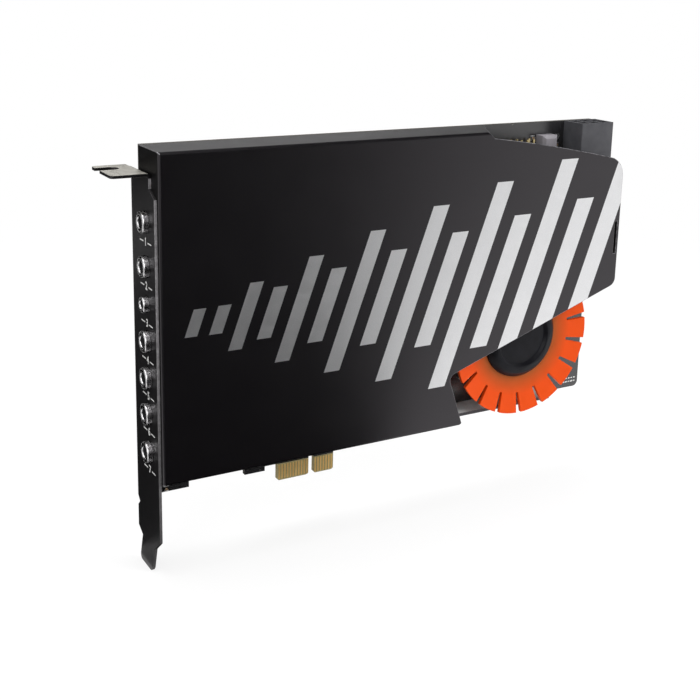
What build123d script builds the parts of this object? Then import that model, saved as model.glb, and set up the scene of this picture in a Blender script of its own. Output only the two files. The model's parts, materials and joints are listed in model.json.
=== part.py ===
from build123d import *
import os

# A half-length sound card with a full-height slot bracket and a folded sheet cover.
# Millimetres. X runs along the board away from the bracket, -Y is the component side, Z is up.
# The origin is the middle of the edge tab's key notch, at the tab's lower edge, in the board's mid-plane.

# Board
board_length = 167.65          # from the bracket's outer face to the far end
board_height = 111.15          # from the tab's lower edge to the top edge
board_thickness = 1.57
board_lower_edge = 12.6        # above the tab's lower edge
board_corner = 2.0
board_gap = 0.4                # between the bracket and the board
key_to_bracket = 57.15         # key notch centre to the bracket's outer face

# Edge tab and the feet beside it
tab_left = 12.15
tab_right = 8.15
tab_bevel = 0.4
tab_corner = 0.7
key_width = 1.9
key_depth = 6.4
shelf_height = 6.0
foot_height = 4.5
foot_length = 13.6
guide_width = 7.0
guide_gap = 4.45               # from the guide foot to the tab
contact_pitch = 1.0
contact_width = 0.7
contact_low = 0.6
contact_high = 5.6
contact_thickness = 0.1
contact_from_key = 1.5
contacts_left = 11
contacts_right = 7

# Slot bracket
bracket_length = 120.02
bracket_width = 18.42
bracket_thickness = 0.86
bracket_bend = 0.5             # inside radius of the folds
bracket_near = 14.3            # near edge to the board's component face
flange_top = 104.6             # above the tab's lower edge
flange_reach = 11.43
flange_overhang = 3.2
flange_corner = 1.2
screw_slot_width = 4.42
screw_slot_depth = 6.2
screw_slot_from_far = 5.6      # slot centre to the flange's far side
neck_cut = 4.12
neck_height = 4.3
neck_slope = 2.4
tail_width = 10.6
tail_from_near = 4.4
tail_length = 7.2
tail_slope = 3.8
tail_corner = 1.8
tail_kick = 0.9                # how far the tail's end is bent outwards
edge_nick_height = 17.4        # small nick in the far edge, above the tail's end
edge_nick = 1.6
lug_length = 11.0
lug_height = 9.0
lug_screw_from_bracket = 7.4
lug_head_gap = 0.6             # screw head to the first jack's body

# Cover
cover_depth = 15.8             # front face to the board's component face
cover_sheet = 1.2
cover_lower_edge = 13.9
cover_rise = 6.55              # cover's top above the bracket's flange
cover_fold = 1.0               # outer radius of the folds
step_from_end = 57.0           # where the front plate's top edge steps down
step_drop = 2.0
step_slope = 2.2
crown_drop = 6.0               # top edge, half way to the end
shoulder_drop = 11.2           # top edge, near the end
shoulder_inset = 4.6
shoulder_round = 7.0
chin_height = 55.4             # lower corner at the far end
chin_round = 3.0
notch_height = 31.8            # inner corner of the cut-away round the ring
notch_from_end = 68.6
notch_round = 2.2
tip_from_end = 62.4
tip_round = 1.0
tip_wall_inset = 2.2           # lower wall's end, short of the tip
top_wall_slant = 9.0
end_slit_low = 66.4
end_slit_high = 77.7
end_slit_width = 1.0
end_slit_inset = 0.9
ledge_length = 42.0
ledge_depth = 9.0
window_clearance = 0.6         # left wall's window round the jacks

# Jacks
jack_from_board = 7.0          # axis to the board's component face
jack_count = 7
jack_first_drop = 14.2         # first axis below the flange's top
jack_last_rise = 7.9           # last axis above the cover's lower edge
jack_first_extra = 1.8         # wider gap after the first jack
jack_last_extra = 0.8          # wider gap before the last jack
jack_body_gap = 1.0            # between neighbouring bodies
jack_body_length = 13.0
jack_body_depth = 12.4
jack_body_round = 1.0
jack_bore_depth = 11.0
barrel_radius = 3.15
barrel_bore_radius = 1.8
barrel_reach = 1.75            # out of the bracket
barrel_rim = 0.35
collar_radius = 4.3
collar_thickness = 1.4
small_barrel_radius = 2.3
small_bore_radius = 1.3
small_collar_radius = 3.3
small_jack = 3                 # counted from the top
barrel_clearance = 0.1

# Accent ring and its hub
ring_from_end = 36.9
ring_height = 40.0
ring_radius = 27.0
ring_bore_radius = 14.3
ring_seat_radius = 17.0
ring_thickness = 1.2
ring_dish = 2.0
ring_clearance = 1.6           # rim to the back of the front plate
ring_slots = 18
slot_inner_radius = 20.2
slot_inner_width = 1.0
slot_outer_width = 2.2
hub_clearance = 0.1
hub_shoulder_radius = 16.4
hub_shoulder = 1.2
hub_stem_radius = 11.0
hub_rise = 2.6                 # above the ring's seat
hub_side = 0.65                # straight side above the ring's seat
hub_edge_inset = 1.04
hub_edge_drop = 0.78
hub_rim_radius = 10.2
hub_dish = 1.0
hub_centre_drop = 0.4
light_count = 4
light_circle_radius = 21.0
light_size = 3.2
light_height = 1.9

# Power socket at the top edge
socket_from_end = 0.3
socket_columns = 3             # along X
socket_rows = 2                # off the board
socket_pitch = 4.2
socket_wall = 0.6
socket_cell = 3.5
socket_length = 12.8
socket_floor = 3.3
socket_pin = 1.07
socket_pin_length = 7.6

# Front audio pin header
header_from_end = 35.0
header_columns = 5
header_rows = 2
header_pitch = 2.54
header_base = 2.5
header_pin = 0.64
header_pin_length = 8.5        # from the base's underside
header_drop = 5.2              # pin tips below the board's top edge
header_leg = 1.5               # first row's legs below the base

# Fasteners
pillar_width = 5.0
pillar_inset = 20.0            # first column, from the bracket's outer face
pillar_drop = 7.2              # top row, below the upper limit of the board's parts
pillar_rise = 7.2              # lower row, from the cover's lower edge
pillar_end_inset = 7.2
pillar_end_height = 66.0
pillar_tip_inset = 12.0
pillar_bore_depth = 6.0
screw_radius = 1.2
screw_length = 6.4
bracket_screw_length = 2.9
screw_head_radius = 2.5
screw_head = 1.6
screw_head_flat = 1.75         # radius of the head's flat top
screw_head_side = 0.8          # height of the head's straight side
screw_clearance = 0.15
thread_clearance = 0.05

# Parts on the board: width along X, length along Z, height off the board
processor_side = 12.0
processor_height = 1.2
processor_rise = 8.0           # above the lowest row
converter_side = 8.0
converter_height = 1.0
converter_drop = 34.8          # below the upper limit
input_converter_width = 5.4
input_converter_length = 7.2
input_converter_height = 1.1
input_converter_drop = 13.8
amplifier_width = 6.4
amplifier_length = 9.6
amplifier_height = 1.1
amplifier_drop = 29.8
memory_side = 5.2
memory_height = 1.7
memory_gap = 2.0               # beside the processor
memory_rise = 2.0
oscillator_width = 7.0
oscillator_length = 5.0
oscillator_height = 1.8
oscillator_rise = 26.0
relay_width = 6.6
relay_length = 10.6
relay_height = 5.4
relay_pitch = 14.0
relay_count = 3
inductor_side = 6.4
inductor_height = 4.6
inductor_from_end = 22.8
inductor_drop = 4.2            # first one below the board's top edge
inductor_chamfer = 1.0
inductor_pitch = 10.0
inductor_count = 2
regulator_width = 6.6
regulator_length = 6.2
regulator_height = 2.3
regulator_from_end = 29.0
regulator_pitch = 10.0
regulator_count = 2
op_amp_width = 3.9
op_amp_length = 4.9
op_amp_height = 1.5
op_amp_lead = 1.0
op_amp_lead_width = 0.45
op_amp_lead_height = 0.375
op_amp_lead_pitch = 1.27
op_amp_leads = 4
op_amp_pitch = 12.0
op_amp_count = 6
op_amp_gap = 0.8               # between the leads and the pillars beside them
package_chamfer = 0.3
low_row_rise = 16.0            # lowest row above the cover's lower edge
supply_gap = 11.0              # supply parts above the accent ring
can_radius = 3.15
can_height = 7.7
can_base = 1.2
can_base_cut = 0.9
can_round = 0.6
can_drop = 8.2                 # first row below the upper limit
can_pitch = 12.0
can_columns = 2
can_rows = 5
small_can_radius = 2.5
small_can_height = 5.4
small_can_pitch = 5.8
small_can_from_step = 4.0
small_can_gap = 4.0            # below the upper limit
small_can_count = 2

# Planes and ends worked out from the sizes above
bracket_out = -key_to_bracket
bracket_in = bracket_out + bracket_thickness
board_left = bracket_in + board_gap
board_end = bracket_out + board_length
face = -board_thickness / 2
back = board_thickness / 2
near_edge = face - bracket_near
far_edge = near_edge + bracket_width
tail_end = flange_top - bracket_length
cover_front = face - cover_depth
plate_back = cover_front + cover_sheet
cover_left = bracket_in
cover_top = flange_top + cover_rise
upper_limit = min(board_height, cover_top - cover_sheet)
low_row = cover_lower_edge + low_row_rise
jack_axis = face - jack_from_board
collar_back = bracket_in + collar_thickness
ring_x = board_end - ring_from_end
rim_front = plate_back + ring_clearance
seat_front = rim_front + ring_dish
seat_back = seat_front + ring_thickness
socket_right = board_end - socket_from_end
socket_left = socket_right - socket_columns * socket_pitch - 2 * socket_wall
socket_front = face - socket_rows * socket_pitch - 2 * socket_wall
header_x = board_end - header_from_end
header_low = board_height - header_drop - header_pin_length

# Jack heights: an even pitch between the two end jacks, which stand a little further off
first_jack = flange_top - jack_first_drop
last_jack = cover_lower_edge + jack_last_rise
jack_pitch = (first_jack - last_jack - jack_first_extra - jack_last_extra) / (jack_count - 1)
jack_body_width = jack_pitch - jack_body_gap
jack_heights = [first_jack]
for step in range(1, jack_count - 1):
    jack_heights.append(first_jack - jack_first_extra - step * jack_pitch)
jack_heights.append(last_jack)

# Columns of parts, spread evenly between the pillars on the left and at the cover's tip
pillar_left = bracket_out + pillar_inset
pillar_tip = board_end - tip_from_end - pillar_tip_inset
op_amp_reach = op_amp_width / 2 + op_amp_lead
op_amp_x = pillar_left + pillar_width / 2 + op_amp_gap + op_amp_reach
can_block = (can_columns - 1) * can_pitch + 2 * can_radius
free_left = op_amp_x + op_amp_reach
free_right = pillar_tip - pillar_width / 2
column_gap = (free_right - free_left - relay_width - processor_side - can_block) / 4
relay_x = free_left + column_gap + relay_width / 2
chip_x = relay_x + relay_width / 2 + column_gap + processor_side / 2
can_x = chip_x + processor_side / 2 + column_gap + can_radius
memory_x = chip_x + processor_side / 2 + memory_gap + memory_side / 2
supply_row = ring_height + ring_radius + supply_gap


def block(x, y, z):
    """A box from three (low, high) ranges."""
    size = Box(x[1] - x[0], y[1] - y[0], z[1] - z[0])
    return Pos((x[0] + x[1]) / 2, (y[0] + y[1]) / 2, (z[0] + z[1]) / 2) * size


def outline_xz(points, y):
    """A closed outline of (x, z) points, thick from y[0] to y[1]."""
    outline = make_face(Plane.XZ.offset(-y[1]) * Polyline(points, close=True))
    return extrude(outline, y[1] - y[0], dir=(0, -1, 0))


def outline_yz(points, x):
    """A closed outline of (y, z) points, thick from x[0] to x[1]."""
    outline = make_face(Plane.YZ.offset(x[0]) * Polyline(points, close=True))
    return extrude(outline, x[1] - x[0], dir=(1, 0, 0))


def outline_xy(points, z):
    """A closed outline of (x, y) points, thick from z[0] to z[1]."""
    outline = make_face(Plane.XY.offset(z[0]) * Polyline(points, close=True))
    return extrude(outline, z[1] - z[0], dir=(0, 0, 1))


def rod_x(radius, x, y, z):
    """A round rod along X, from x[0] to x[1]."""
    return Pos((x[0] + x[1]) / 2, y, z) * Rot(0, 90, 0) * Cylinder(radius, x[1] - x[0])


def rod_y(radius, x, y, z):
    """A round rod along Y, from y[0] to y[1]."""
    return Pos(x, (y[0] + y[1]) / 2, z) * Rot(90, 0, 0) * Cylinder(radius, y[1] - y[0])


def turned_y(points, x, z):
    """A solid turned about a line along Y through (x, z), from (radius, y) points."""
    profile = make_face(Polyline(points, close=True))
    return Pos(x, 0, z) * revolve(profile, Axis.Y)


def round_corner(solid, axis, point, radius):
    """Round the one edge along the axis that is nearest to the point."""
    edges = solid.edges().filter_by(axis)
    return fillet(edges.sort_by_distance(point)[0], radius)


def on_board(x, z, width, length, height, cut=package_chamfer):
    """A package that stands on the board's component face, with its upper edges cut."""
    half_x = width / 2
    half_z = length / 2
    package = block((x - half_x, x + half_x), (face - height, face), (z - half_z, z + half_z))
    return chamfer(package.faces().sort_by(Axis.Y)[0].edges(), cut)


def group(solids):
    """Separate solids that share one node."""
    return Compound(children=list(solids))


def pillar_places():
    """Where the cover's pillars stand, as (x, z)."""
    high = upper_limit - pillar_drop
    low = cover_lower_edge + pillar_rise
    places = [(x, z) for z in (high, low) for x in (pillar_left, pillar_tip)]
    return places + [(board_end - pillar_end_inset, pillar_end_height)]


def lug_heights():
    """Lugs above the first jack and on the board's foot."""
    foot_middle = (foot_height + cover_lower_edge) / 2
    above_jacks = first_jack + jack_body_width / 2 + lug_head_gap + screw_head_radius
    return [foot_middle, above_jacks]


def make_board():
    foot_end = board_left + foot_length
    guide_end = -tab_left - guide_gap
    key = key_width / 2
    outline = [
        (board_left, board_height),
        (board_left, foot_height),
        (foot_end, foot_height),
        (foot_end, board_lower_edge),
        (guide_end - guide_width, board_lower_edge),
        (guide_end - guide_width, foot_height),
        (guide_end, foot_height),
        (guide_end, shelf_height),
        (-tab_left, shelf_height),
        (-tab_left, tab_corner),
        (-tab_left + tab_corner, 0),
        (-key - tab_corner, 0),
        (-key, tab_corner),
        (-key, key_depth),
        (key, key_depth),
        (key, tab_corner),
        (key + tab_corner, 0),
        (tab_right - tab_corner, 0),
        (tab_right, tab_corner),
        (tab_right, board_lower_edge),
        (board_end, board_lower_edge),
        (board_end, board_height),
    ]
    board = outline_xz(outline, (face, back))
    for z in (board_lower_edge, board_height):
        board = round_corner(board, Axis.Y, (board_end, 0, z), board_corner)
    tab_edges = [
        edge
        for edge in board.edges().filter_by(Axis.X)
        if abs(edge.center().Z) < tab_bevel
    ]
    board = chamfer(tab_edges, tab_bevel)
    for x, z in pillar_places():
        board -= rod_y(screw_radius + screw_clearance, x, (face, back), z)
    for z in lug_heights():
        x = bracket_in + lug_screw_from_bracket
        board -= rod_y(screw_radius + screw_clearance, x, (face, back), z)
    return board


def make_contacts(y):
    places = [-contact_from_key - i * contact_pitch for i in range(contacts_left)]
    places += [contact_from_key + i * contact_pitch for i in range(contacts_right)]
    half = contact_width / 2
    return group(block((x - half, x + half), y, (contact_low, contact_high)) for x in places)


def make_bracket():
    outer = bracket_bend + bracket_thickness
    tail_neck = tail_end + tail_length
    near_tail = near_edge + tail_from_near
    far_tail = near_tail + tail_width
    neck_edge = near_edge + neck_cut
    flange_far = far_edge + flange_overhang

    # Side profile of the upright: straight, with the tail kicked outwards.
    upright = outline_xz(
        [
            (bracket_out, flange_top),
            (bracket_out, tail_neck),
            (bracket_out - tail_kick, tail_end),
            (bracket_in - tail_kick, tail_end),
            (bracket_in, tail_neck),
            (bracket_in, flange_top),
        ],
        (near_edge, far_edge),
    )
    # Front outline of the upright: narrow neck, full width, then the tapered tail.
    nick = tail_end + edge_nick_height
    front = outline_yz(
        [
            (neck_edge, flange_top),
            (neck_edge, flange_top - neck_height),
            (near_edge, flange_top - neck_height - neck_slope),
            (near_edge, tail_neck + tail_slope),
            (near_tail, tail_neck),
            (near_tail, tail_end),
            (far_tail, tail_end),
            (far_tail, tail_neck),
            (far_edge, tail_neck + tail_slope / 2),
            (far_edge, nick - edge_nick),
            (far_edge - edge_nick, nick),
            (far_edge, nick + edge_nick),
            (far_edge, flange_top),
        ],
        (bracket_out - flange_reach, bracket_in),
    )
    for y in (near_tail, far_tail):
        front = round_corner(front, Axis.X, (bracket_out, y, tail_end), tail_corner)
    upright = upright & front

    # The flange folds outwards at the top and is open at its end for the screw.
    flange_low = flange_top - bracket_thickness
    flange_end = bracket_in - flange_reach
    slot_y = flange_far - screw_slot_from_far
    slot_end = flange_end + screw_slot_depth - screw_slot_width / 2
    half_slot = screw_slot_width / 2
    flange = outline_xy(
        [
            (bracket_in, neck_edge),
            (flange_end, neck_edge),
            (flange_end, flange_far),
            (bracket_out - bracket_bend, flange_far),
            (bracket_out - bracket_bend, far_edge),
            (bracket_in, far_edge),
        ],
        (flange_low, flange_top),
    )
    for y in (neck_edge, flange_far):
        flange = round_corner(flange, Axis.Z, (flange_end, y, flange_low), flange_corner)
    slot_span = (slot_y - half_slot, slot_y + half_slot)
    flange -= block((flange_end, slot_end), slot_span, (flange_low, flange_top))
    flange_middle = flange_top - bracket_thickness / 2
    flange -= Pos(slot_end, slot_y, flange_middle) * Cylinder(half_slot, bracket_thickness)
    bracket = upright + flange
    fold = bracket.edges().filter_by(Axis.Y).sort_by_distance((bracket_in, 0, flange_top))[0]
    bracket = fillet(fold, outer)
    inner = bracket.edges().filter_by(Axis.Y).sort_by_distance((bracket_out, 0, flange_low))[0]
    bracket = fillet(inner, bracket_bend)

    # Lugs fold inwards behind the board.
    lug_end = bracket_in + lug_length
    lug_span = (back, back + bracket_thickness)
    hole = screw_radius + thread_clearance
    for z in lug_heights():
        low = z - lug_height / 2
        high = z + lug_height / 2
        lug = block((bracket_in, lug_end), lug_span, (low, high))
        for corner in (low, high):
            lug = round_corner(lug, Axis.Y, (lug_end, back, corner), board_corner)
        bracket += lug - rod_y(hole, bracket_in + lug_screw_from_bracket, lug_span, z)

    for number, z in enumerate(jack_heights, 1):
        radius = small_barrel_radius if number == small_jack else barrel_radius
        bracket -= rod_x(radius + barrel_clearance, (bracket_out, bracket_in), jack_axis, z)
    return bracket


def make_cover():
    step_x = board_end - step_from_end
    tip_x = board_end - tip_from_end
    notch_x = board_end - notch_from_end
    shoulder_x = board_end - shoulder_inset
    crown_x = (step_x + step_slope + shoulder_x) / 2

    # Front plate: straight to the step, then a falling crown, and cut away round the ring.
    edge = Polyline(
        (shoulder_x, cover_top - shoulder_drop),
        (board_end, cover_top - shoulder_drop - shoulder_inset / 2),
        (board_end, chin_height),
        (notch_x, notch_height),
        (tip_x, cover_lower_edge),
        (cover_left, cover_lower_edge),
        (cover_left, cover_top),
        (step_x, cover_top),
        (step_x + step_slope, cover_top - step_drop),
    )
    crown = ThreePointArc(
        (step_x + step_slope, cover_top - step_drop),
        (crown_x, cover_top - crown_drop),
        (shoulder_x, cover_top - shoulder_drop),
    )
    outline = Plane.XZ.offset(-plate_back) * (Curve() + edge + crown)
    plate = extrude(make_face(outline), cover_sheet, dir=(0, -1, 0))
    rounds = (
        (board_end, cover_top - shoulder_drop - shoulder_inset / 2, shoulder_round),
        (board_end, chin_height, chin_round),
        (notch_x, notch_height, notch_round),
        (tip_x, cover_lower_edge, tip_round),
    )
    for x, z, radius in rounds:
        plate = round_corner(plate, Axis.Y, (x, cover_front, z), radius)

    # A folded tray: front, top, lower and left walls, with rounded folds.
    tray = block((cover_left, board_end), (cover_front, face), (cover_lower_edge, cover_top))
    folds = [
        tray.edges().filter_by(Axis.X).sort_by_distance((0, cover_front, cover_top))[0],
        tray.edges().filter_by(Axis.X).sort_by_distance((0, cover_front, cover_lower_edge))[0],
        tray.edges().filter_by(Axis.Z).sort_by_distance((cover_left, cover_front, 0))[0],
    ]
    tray = fillet(folds, cover_fold)
    tray -= block(
        (cover_left + cover_sheet, board_end),
        (plate_back, face),
        (cover_lower_edge + cover_sheet, cover_top - cover_sheet),
    )
    walls = tray & block((cover_left, board_end), (plate_back, face), (cover_lower_edge, cover_top))

    # The top wall ends on a slant, and the lower wall narrows to a ledge past the tip.
    walls -= outline_xy(
        [
            (step_x, cover_front),
            (board_end, cover_front),
            (board_end, face),
            (step_x + top_wall_slant, face),
        ],
        (cover_top - cover_sheet, cover_top),
    )
    walls -= outline_xy(
        [
            (tip_x - tip_wall_inset, plate_back),
            (board_end, plate_back),
            (board_end, face),
            (tip_x + ledge_length, face),
            (tip_x + ledge_length, face - ledge_depth),
            (tip_x - tip_wall_inset, face - ledge_depth),
        ],
        (cover_lower_edge, cover_lower_edge + cover_sheet),
    )
    # The left wall has a window, open towards the board, that slides over the jacks.
    half_jack = jack_body_width / 2 + window_clearance
    window_front = face - jack_body_depth - window_clearance
    walls -= block(
        (cover_left, cover_left + cover_sheet),
        (window_front, face),
        (last_jack - half_jack, first_jack + half_jack),
    )
    # The end wall folds back from the front plate, between its rounded corners.
    end_wall = block(
        (board_end - cover_sheet, board_end),
        (cover_front, face),
        (chin_height + chin_round, cover_top - shoulder_drop - shoulder_round),
    )
    slit_x = board_end - end_slit_inset
    slit_left = min(slit_x - end_slit_width, board_end - cover_sheet)
    slit = block((slit_left, slit_x), (cover_front, plate_back), (end_slit_low, end_slit_high))
    return (tray & plate) + walls + end_wall - slit


def make_pillars():
    pillars = []
    for x, z in pillar_places():
        hexagon = Plane.XZ.offset(-face) * Pos(x, z) * RegularPolygon(pillar_width / 2, 6, major_radius=False)
        pillar = extrude(hexagon, face - plate_back, dir=(0, -1, 0))
        pillar -= rod_y(screw_radius + thread_clearance, x, (face - pillar_bore_depth, face), z)
        pillars.append(pillar)
    return group(pillars)


def make_screw(x, z, seat, way, length):
    """A pan-head screw. Its head stands on the plane y = seat and its shank runs way (+1 or -1) along Y."""
    profile = [
        (0, 0),
        (0, screw_head),
        (screw_head_flat, screw_head),
        (screw_head_radius, screw_head_side),
        (screw_head_radius, 0),
        (screw_radius, 0),
        (screw_radius, -length),
        (0, -length),
    ]
    screw = turned_y(profile, 0, 0)
    turn = Rot(0, 0, 180) if way > 0 else Rot(0, 0, 0)
    return Pos(x, seat, z) * turn * screw


def make_cover_screws():
    return group(make_screw(x, z, back, -1, screw_length) for x, z in pillar_places())


def make_bracket_screws():
    x = bracket_in + lug_screw_from_bracket
    return group(make_screw(x, z, face, 1, bracket_screw_length) for z in lug_heights())


def make_barrel(number, z):
    small = number == small_jack
    radius = small_barrel_radius if small else barrel_radius
    bore = small_bore_radius if small else barrel_bore_radius
    collar = small_collar_radius if small else collar_radius
    tip = bracket_out - barrel_reach
    barrel = rod_x(radius, (tip, bracket_in), jack_axis, z)
    barrel = chamfer(barrel.edges().filter_by(GeomType.CIRCLE).sort_by(Axis.X)[0], barrel_rim)
    barrel += rod_x(collar, (bracket_in, collar_back), jack_axis, z)
    return barrel - rod_x(bore, (tip, collar_back), jack_axis, z)


def make_jack_body(number, z):
    bore = small_bore_radius if number == small_jack else barrel_bore_radius
    half = jack_body_width / 2
    front = face - jack_body_depth
    body = block((collar_back, collar_back + jack_body_length), (front, face), (z - half, z + half))
    for corner in (z - half, z + half):
        body = round_corner(body, Axis.X, (collar_back, front, corner), jack_body_round)
    return body - rod_x(bore, (collar_back, collar_back + jack_bore_depth), jack_axis, z)


def make_ring():
    ring = turned_y(
        [
            (ring_bore_radius, seat_front),
            (ring_seat_radius, seat_front),
            (ring_radius, rim_front),
            (ring_radius, rim_front + ring_thickness),
            (ring_seat_radius, seat_back),
            (ring_bore_radius, seat_back),
        ],
        ring_x,
        ring_height,
    )
    inner = slot_inner_width / 2
    outer = slot_outer_width / 2
    reach = ring_radius + ring_thickness
    wedge = outline_xz(
        [(-inner, slot_inner_radius), (inner, slot_inner_radius), (outer, reach), (-outer, reach)],
        (rim_front - ring_thickness, seat_back + ring_thickness),
    )
    for index in range(ring_slots):
        turn = Rot(0, 360 * index / ring_slots, 0)
        ring -= Pos(ring_x, 0, ring_height) * turn * wedge
    return ring


def make_hub():
    neck = ring_bore_radius - hub_clearance
    top = seat_front - hub_rise
    return turned_y(
        [
            (0, face),
            (hub_stem_radius, face),
            (hub_stem_radius, seat_back + hub_shoulder),
            (hub_shoulder_radius, seat_back + hub_shoulder),
            (hub_shoulder_radius, seat_back),
            (neck, seat_back),
            (neck, seat_front - hub_side),
            (neck - hub_edge_inset, top + hub_edge_drop),
            ((neck + hub_rim_radius) / 2, top),
            (hub_rim_radius, top),
            (hub_rim_radius - hub_dish, top + hub_dish),
            (0, top + hub_centre_drop),
        ],
        ring_x,
        ring_height,
    )


def make_ring_lights():
    places = PolarLocations(light_circle_radius, light_count, start_angle=180 / light_count)
    spots = [(ring_x + place.position.X, ring_height + place.position.Y) for place in places]
    return group(on_board(x, z, light_size, light_size, light_height) for x, z in spots)


def socket_cells():
    """Cell centres of the power socket as (x, y)."""
    cells = []
    for row in range(socket_rows):
        for column in range(socket_columns):
            x = socket_left + socket_wall + socket_pitch * (column + 0.5)
            y = face - socket_wall - socket_pitch * (row + 0.5)
            cells.append((x, y))
    return cells


def make_power_socket():
    low = board_height - socket_length
    housing = block((socket_left, socket_right), (socket_front, face), (low, board_height))
    for x in (socket_left, socket_right):
        housing = round_corner(housing, Axis.Z, (x, socket_front, board_height), package_chamfer)
    half = socket_cell / 2
    for x, y in socket_cells():
        housing -= block((x - half, x + half), (y - half, y + half), (low + socket_floor, board_height))
    return housing


def make_power_pins():
    floor = board_height - socket_length + socket_floor
    half = socket_pin / 2
    rise = (floor, floor + socket_pin_length)
    return group(block((x - half, x + half), (y - half, y + half), rise) for x, y in socket_cells())


def header_pin_solids():
    """Pins of the front audio header, bent into the board, without the key position."""
    tip = header_low + header_pin_length
    half = header_pin / 2
    pins = []
    for row in range(header_rows):
        y = face - header_pitch * (row + 0.5)
        leg = header_low - header_leg - row * header_pitch
        for column in range(header_columns):
            if row == 0 and column == header_columns - 2:
                continue
            x = header_x + (column - (header_columns - 1) / 2) * header_pitch
            upright = block((x - half, x + half), (y - half, y + half), (leg - half, tip))
            pins.append(upright + block((x - half, x + half), (y, face), (leg - half, leg + half)))
    return pins


def make_front_header():
    half = header_columns * header_pitch / 2
    front = face - header_rows * header_pitch
    base = block((header_x - half, header_x + half), (front, face), (header_low, header_low + header_base))
    for pin in header_pin_solids():
        base -= pin
    return base


def make_op_amp(x, z):
    body = on_board(x, z, op_amp_width, op_amp_length, op_amp_height)
    leads_y = (face - op_amp_lead_height, face)
    for index in range(op_amp_leads):
        middle = z + (index - (op_amp_leads - 1) / 2) * op_amp_lead_pitch
        span = (middle - op_amp_lead_width / 2, middle + op_amp_lead_width / 2)
        body += block((x - op_amp_reach, x + op_amp_reach), leads_y, span)
    return body


def make_can(x, z, radius, height):
    """An upright can on a square base with two cut corners."""
    base = block((x - radius, x + radius), (face - can_base, face), (z - radius, z + radius))
    for corner in (z - radius, z + radius):
        edge = base.edges().filter_by(Axis.Y).sort_by_distance((x - radius, face, corner))[0]
        base = chamfer(edge, can_base_cut)
    can = rod_y(radius, x, (face - height, face - can_base), z)
    top = can.edges().filter_by(GeomType.CIRCLE).sort_by(Axis.Y)[0]
    return base + chamfer(top, can_round)


def make_cans():
    cans = []
    for column in range(can_columns):
        for row in range(can_rows):
            x = can_x + column * can_pitch
            z = upper_limit - can_drop - row * can_pitch
            cans.append(make_can(x, z, can_radius, can_height))
    for index in range(small_can_count):
        x = board_end - step_from_end + small_can_from_step + index * small_can_pitch
        z = upper_limit - small_can_gap - small_can_radius
        cans.append(make_can(x, z, small_can_radius, small_can_height))
    return group(cans)


def make_relay(x, z):
    return on_board(x, z, relay_width, relay_length, relay_height)


def make_inductor(x, z):
    return on_board(x, z, inductor_side, inductor_side, inductor_height, inductor_chamfer)


def make_regulator(x, z):
    return on_board(x, z, regulator_width, regulator_length, regulator_height)


def in_column(maker, x, z, count, pitch):
    """The same part repeated upwards from (x, z)."""
    return group(maker(x, z + index * pitch) for index in range(count))


def in_row(maker, x, z, count, pitch):
    """The same part repeated along the board from (x, z)."""
    return group(maker(x + index * pitch, z) for index in range(count))


def make_inductors():
    highest = board_height - inductor_drop - inductor_side / 2
    lowest = highest - (inductor_count - 1) * inductor_pitch
    return in_column(make_inductor, board_end - inductor_from_end, lowest, inductor_count, inductor_pitch)


def make_regulators():
    left = board_end - regulator_from_end
    return in_row(make_regulator, left, supply_row, regulator_count, regulator_pitch)


def make_processor():
    return on_board(chip_x, low_row + processor_rise, processor_side, processor_side, processor_height)


def make_memory():
    return on_board(memory_x, low_row + memory_rise, memory_side, memory_side, memory_height)


def make_oscillator():
    z = low_row + oscillator_rise
    return on_board(chip_x, z, oscillator_width, oscillator_length, oscillator_height)


def make_output_converter():
    return on_board(chip_x, upper_limit - converter_drop, converter_side, converter_side, converter_height)


def make_input_converter():
    z = upper_limit - input_converter_drop
    return on_board(relay_x, z, input_converter_width, input_converter_length, input_converter_height)


def make_amplifier():
    z = upper_limit - amplifier_drop
    return on_board(relay_x, z, amplifier_width, amplifier_length, amplifier_height)


nodes = {
    "circuit_board": make_board(),
    "edge_contacts_front": make_contacts((face - contact_thickness, face)),
    "edge_contacts_back": make_contacts((back, back + contact_thickness)),
    "bracket": make_bracket(),
    "bracket_screws": make_bracket_screws(),
    "shroud": make_cover(),
    "shroud_standoffs": make_pillars(),
    "shroud_screws": make_cover_screws(),
    "accent_ring": make_ring(),
    "ring_hub": make_hub(),
    "ring_lights": make_ring_lights(),
    "power_header": make_power_socket(),
    "power_pins": make_power_pins(),
    "front_audio_header": make_front_header(),
    "front_audio_pins": group(header_pin_solids()),
    "audio_processor": make_processor(),
    "firmware_memory": make_memory(),
    "clock_oscillator": make_oscillator(),
    "output_converter": make_output_converter(),
    "input_converter": make_input_converter(),
    "headphone_amplifier": make_amplifier(),
    "op_amps": in_column(make_op_amp, op_amp_x, low_row, op_amp_count, op_amp_pitch),
    "relays": in_column(make_relay, relay_x, low_row, relay_count, relay_pitch),
    "electrolytic_capacitors": make_cans(),
    "power_inductors": make_inductors(),
    "voltage_regulators": make_regulators(),
}
for number, z in enumerate(jack_heights, 1):
    nodes[f"jack_barrel_{number}"] = make_barrel(number, z)
    nodes[f"jack_body_{number}"] = make_jack_body(number, z)

os.makedirs("parts", exist_ok=True)
for name, shape in nodes.items():
    export_step(shape, f"parts/{name}.step")
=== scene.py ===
import json
import math
import random

import bmesh
import bpy
from mathutils import Matrix, Vector


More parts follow.
